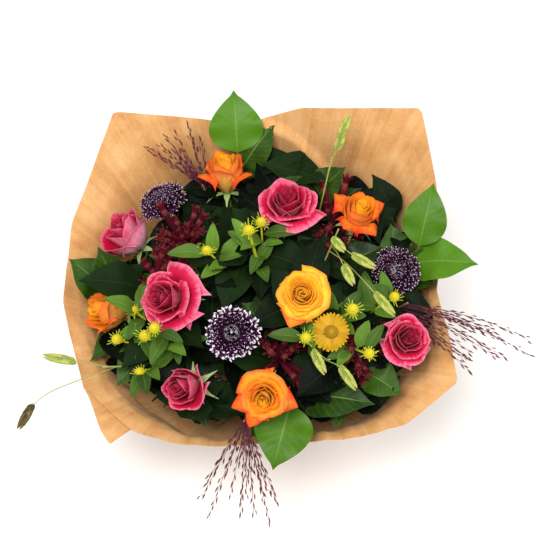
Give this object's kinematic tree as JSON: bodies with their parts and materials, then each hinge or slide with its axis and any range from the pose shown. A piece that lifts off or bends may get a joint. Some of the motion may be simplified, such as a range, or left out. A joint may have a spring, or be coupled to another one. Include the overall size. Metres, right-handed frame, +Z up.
{
  "type": "mixed flower bouquet",
  "caption": "Hand-tied mixed flower bouquet with foliage and grasses in a flared brown kraft paper wrap, tied with cord, standing on its spiralled stems.",
  "frame": {"origin": "on the floor, under the middle of the bouquet's overall box", "axes": "+Z up along the bundle of stems, +X to the right and -Y towards the viewer, with the wrap's highest corners at the back on +Y"},
  "size_m": [0.5208, 0.4396, 0.3653],
  "materials": {
    "petal_orange": "matte",
    "petal_pink": "matte",
    "petal_yellow": "matte",
    "scabious_florets": "matte",
    "helenium_rays": "matte",
    "green_stem": "satin",
    "helenium_green": "satin",
    "salal_green": "satin",
    "paw_burgundy": "matte",
    "grass_purple": "matte",
    "oats_green": "matte",
    "kraft_paper": "matte",
    "jute": "matte"
  },
  "bodies": {
    "root": {"fountain_grass_back": "grass_purple", "fountain_grass_front": "grass_purple", "fountain_grass_inner": "grass_purple", "fountain_grass_right": "grass_purple", "helenium_back": "helenium_green", "helenium_flower": "helenium_rays", "helenium_left": "helenium_green", "helenium_right": "helenium_green", "jute_tie": "jute", "kangaroo_paw_back_left": "paw_burgundy", "kangaroo_paw_back_right": "paw_burgundy", "kangaroo_paw_front": "paw_burgundy", "kangaroo_paw_left": "paw_burgundy", "kangaroo_paw_right": "paw_burgundy", "kraft_wrap": "kraft_paper", "rose_back_bloom": "petal_orange", "rose_back_pink_bloom": "petal_pink", "rose_back_pink_stem": "green_stem", "rose_back_right_bloom": "petal_orange", "rose_back_right_stem": "green_stem", "rose_back_stem": "green_stem", "rose_centre_bloom": "petal_yellow", "rose_centre_left_bloom": "petal_pink", "rose_centre_left_stem": "green_stem", "rose_centre_stem": "green_stem", "rose_front_bloom": "petal_orange", "rose_front_left_bloom": "petal_pink", "rose_front_left_stem": "green_stem", "rose_front_stem": "green_stem", "rose_left_bloom": "petal_orange", "rose_left_pink_bloom": "petal_pink", "rose_left_pink_stem": "green_stem", "rose_left_stem": "green_stem", "rose_right_pink_bloom": "petal_pink", "rose_right_pink_stem": "green_stem", "salal_back": "salal_green", "salal_back_right": "salal_green", "salal_front": "salal_green", "salal_front_left": "salal_green", "salal_front_right": "salal_green", "salal_inner_front": "salal_green", "salal_inner_left": "salal_green", "salal_inner_right": "salal_green", "salal_left": "salal_green", "salal_right": "salal_green", "scabious_back_left_head": "scabious_florets", "scabious_back_left_stem": "green_stem", "scabious_front_head": "scabious_florets", "scabious_front_stem": "green_stem", "scabious_right_head": "scabious_florets", "scabious_right_stem": "green_stem", "sea_oats_back": "oats_green", "sea_oats_centre": "oats_green", "sea_oats_front": "oats_green", "sea_oats_left": "oats_green"}
  },
  "joints": []
}
